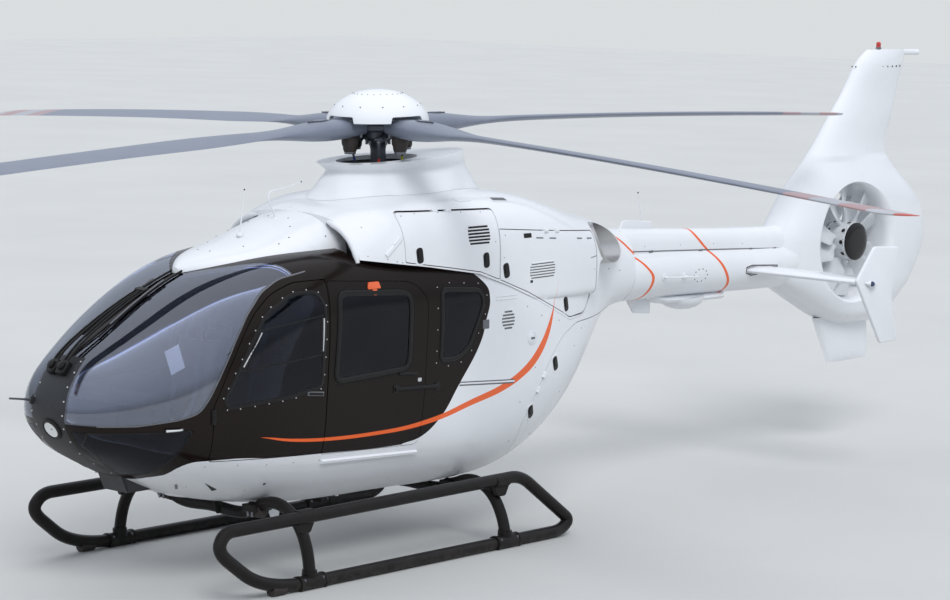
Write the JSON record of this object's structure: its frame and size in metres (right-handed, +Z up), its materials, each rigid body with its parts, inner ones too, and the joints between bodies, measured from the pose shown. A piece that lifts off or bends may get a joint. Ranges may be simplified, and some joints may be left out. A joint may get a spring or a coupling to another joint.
{
  "type": "light twin-engined helicopter with ducted tail fan",
  "caption": "Light helicopter on skids with a main rotor, a ducted fan in the fin, and hinged doors and engine covers.",
  "frame": {"origin": "centre of the whole box in plan, at ground level under the skids", "axes": "+X aft along the body, +Y to starboard (the pilot's right), +Z up"},
  "size_m": [12.1562, 10.1279, 3.56],
  "materials": {
    "white_paint": "gloss",
    "dark_paint": "gloss",
    "glazing": "gloss",
    "exhaust_steel": "satin",
    "red_lamp": "gloss",
    "skid_paint": "satin",
    "cabin_trim": "matte",
    "bare_alloy": "satin",
    "seat_cloth": "matte",
    "blade_composite": "satin"
  },
  "bodies": {
    "airframe": {"cabin_shell": "white_paint", "windshield_left": "glazing", "windshield_right": "glazing", "chin_window_left": "glazing", "chin_window_right": "glazing", "rear_window_left": "glazing", "rear_window_right": "glazing", "sliding_door_left": "dark_paint", "sliding_door_right": "dark_paint", "sliding_window_left": "glazing", "sliding_window_right": "glazing", "upper_cowl": "white_paint", "exhaust_left": "exhaust_steel", "exhaust_right": "exhaust_steel", "roof_fairing": "white_paint", "mast_fairing": "white_paint", "tail_boom": "white_paint", "fin_shroud": "white_paint", "tail_stator": "white_paint", "stabilizer": "white_paint", "end_plate_left": "white_paint", "end_plate_right": "white_paint", "beacon": "red_lamp", "skid_left": "skid_paint", "skid_right": "skid_paint", "cross_tube_front": "skid_paint", "cross_tube_rear": "skid_paint", "cabin_floor": "cabin_trim", "engine_deck": "bare_alloy", "instrument_panel": "cabin_trim", "front_seat_left": "seat_cloth", "front_seat_right": "seat_cloth", "rear_seats": "seat_cloth", "main_gearbox": "bare_alloy", "engine_left": "bare_alloy", "engine_right": "bare_alloy"},
    "front_door_left": {"front_door_left": "dark_paint", "front_window_left": "glazing"},
    "front_door_right": {"front_door_right": "dark_paint", "front_window_right": "glazing"},
    "gearbox_cowl_door_left": {"gearbox_cowl_door_left": "white_paint"},
    "gearbox_cowl_door_right": {"gearbox_cowl_door_right": "white_paint"},
    "engine_cowl_door_left": {"engine_cowl_door_left": "white_paint"},
    "engine_cowl_door_right": {"engine_cowl_door_right": "white_paint"},
    "clamshell_door_left": {"clamshell_door_left": "white_paint"},
    "clamshell_door_right": {"clamshell_door_right": "white_paint"},
    "main_rotor": {"rotor_head": "bare_alloy", "main_blade_1": "blade_composite", "main_blade_2": "blade_composite", "main_blade_3": "blade_composite", "main_blade_4": "blade_composite", "rotor_cap": "white_paint"},
    "tail_fan": {"tail_fan": "white_paint"}
  },
  "joints": [
    {"name": "front_door_left_hinge", "type": "hinge", "parent": "airframe", "child": "front_door_left", "pos_m": [-3.257, -0.729, 1.232], "axis": [0, 0, -1], "range_deg": [0, 75]},
    {"name": "front_door_right_hinge", "type": "hinge", "parent": "airframe", "child": "front_door_right", "pos_m": [-3.257, 0.705, 1.232], "axis": [0, 0, 1], "range_deg": [0, 75]},
    {"name": "gearbox_cowl_door_left_hinge", "type": "hinge", "parent": "airframe", "child": "gearbox_cowl_door_left", "pos_m": [-1.087, -0.652, 2.4388], "axis": [-0.9969, 0.0751, 0.0238], "range_deg": [0, 70]},
    {"name": "gearbox_cowl_door_right_hinge", "type": "hinge", "parent": "airframe", "child": "gearbox_cowl_door_right", "pos_m": [-1.087, 0.628, 2.4388], "axis": [0.9969, 0.0751, -0.0238], "range_deg": [0, 70]},
    {"name": "engine_cowl_door_left_hinge", "type": "hinge", "parent": "airframe", "child": "engine_cowl_door_left", "pos_m": [0.053, -0.72, 2.2419], "axis": [-0.983, -0.1664, 0.078], "range_deg": [0, 70]},
    {"name": "engine_cowl_door_right_hinge", "type": "hinge", "parent": "airframe", "child": "engine_cowl_door_right", "pos_m": [0.053, 0.696, 2.2419], "axis": [0.983, -0.1664, -0.078], "range_deg": [0, 70]},
    {"name": "clamshell_door_left_hinge", "type": "hinge", "parent": "airframe", "child": "clamshell_door_left", "pos_m": [-0.013, -0.741, 1.066], "axis": [-0.5358, 0, -0.8443], "range_deg": [0, 60]},
    {"name": "clamshell_door_right_hinge", "type": "hinge", "parent": "airframe", "child": "clamshell_door_right", "pos_m": [-0.013, 0.717, 1.066], "axis": [0.5358, 0, 0.8443], "range_deg": [0, 60]},
    {"name": "main_rotor_spin", "type": "hinge", "parent": "airframe", "child": "main_rotor", "pos_m": [-1.007, -0.012, 3.005], "axis": [-0.034, 0, 0.9994], "continuous": true},
    {"name": "tail_fan_spin", "type": "hinge", "parent": "airframe", "child": "tail_fan", "pos_m": [4.793, -0.012, 1.835], "axis": [0, 1, 0], "continuous": true}
  ]
}
